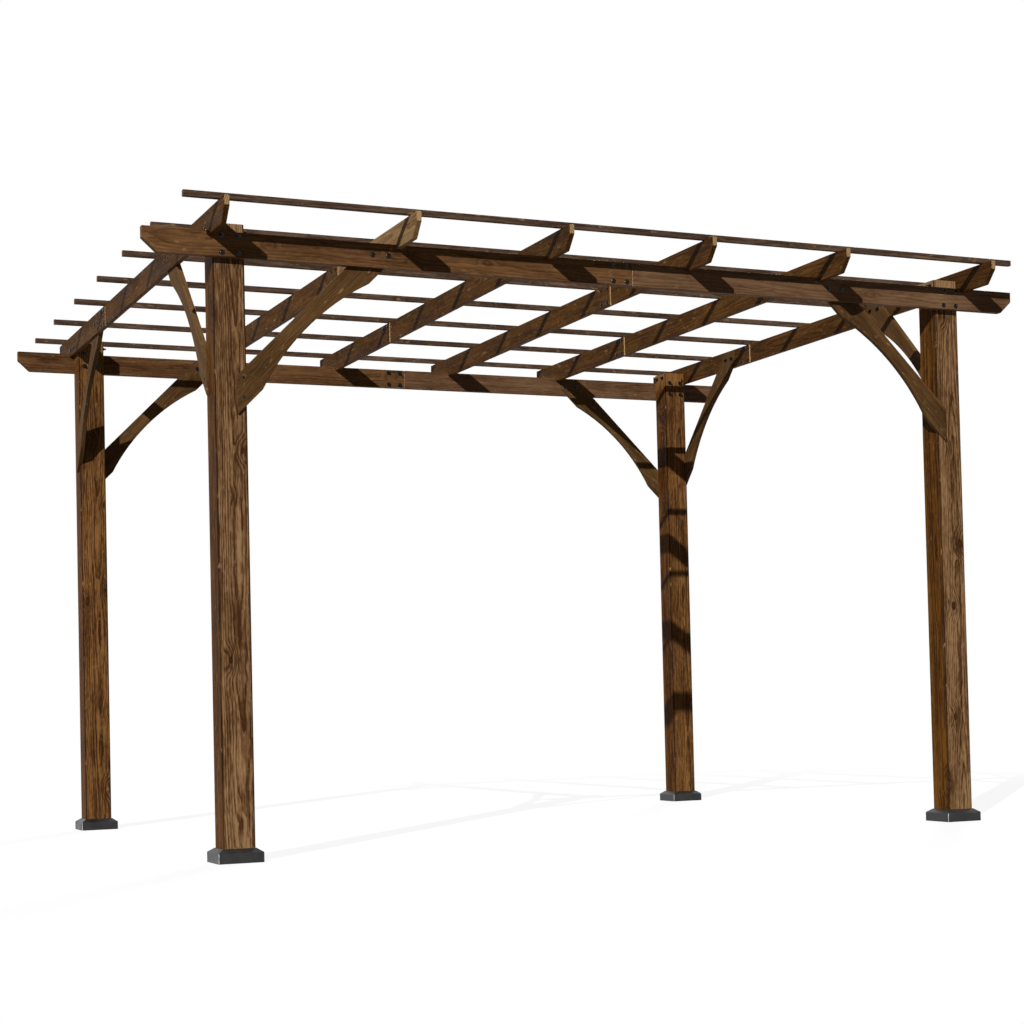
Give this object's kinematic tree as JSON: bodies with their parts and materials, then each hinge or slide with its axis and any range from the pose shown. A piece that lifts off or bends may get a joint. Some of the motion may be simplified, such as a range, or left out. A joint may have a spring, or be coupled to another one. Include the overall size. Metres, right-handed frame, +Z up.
{
  "type": "wooden pergola",
  "caption": "Freestanding open timber pergola: square posts in black base trims, lapped beams and rafters with bevelled tips, slim roof slats and curved knee braces.",
  "frame": {"origin": "on the ground at the middle of the plan", "axes": "+X along the beams to the right as seen from the front, +Y to the back, +Z up"},
  "size_m": [3.65, 3.034, 2.299],
  "materials": {
    "stained_wood": "walnut-brown stain on planed softwood, grain and knots showing, paler at the cut ends",
    "black_metal": "satin black powder coat, scuffed paler at the corners"
  },
  "bodies": {
    "root": {"post_front_left": "stained_wood", "post_front_right": "stained_wood", "post_rear_left": "stained_wood", "post_rear_right": "stained_wood", "base_front_left": "black_metal", "base_front_right": "black_metal", "base_rear_left": "black_metal", "base_rear_right": "black_metal", "beam_front_left": "stained_wood", "beam_front_right": "stained_wood", "beam_rear_left": "stained_wood", "beam_rear_right": "stained_wood", "rafter_1_front": "stained_wood", "rafter_1_rear": "stained_wood", "rafter_2_front": "stained_wood", "rafter_2_rear": "stained_wood", "rafter_3_front": "stained_wood", "rafter_3_rear": "stained_wood", "rafter_4_front": "stained_wood", "rafter_4_rear": "stained_wood", "rafter_5_front": "stained_wood", "rafter_5_rear": "stained_wood", "rafter_6_front": "stained_wood", "rafter_6_rear": "stained_wood", "slat_1": "stained_wood", "slat_2": "stained_wood", "slat_3": "stained_wood", "slat_4": "stained_wood", "slat_5": "stained_wood", "slat_6": "stained_wood", "slat_7": "stained_wood", "brace_beam_front_left": "stained_wood", "brace_beam_front_right": "stained_wood", "brace_beam_rear_left": "stained_wood", "brace_beam_rear_right": "stained_wood", "brace_rafter_front_left": "stained_wood", "brace_rafter_front_right": "stained_wood", "brace_rafter_rear_left": "stained_wood", "brace_rafter_rear_right": "stained_wood"}
  },
  "joints": []
}
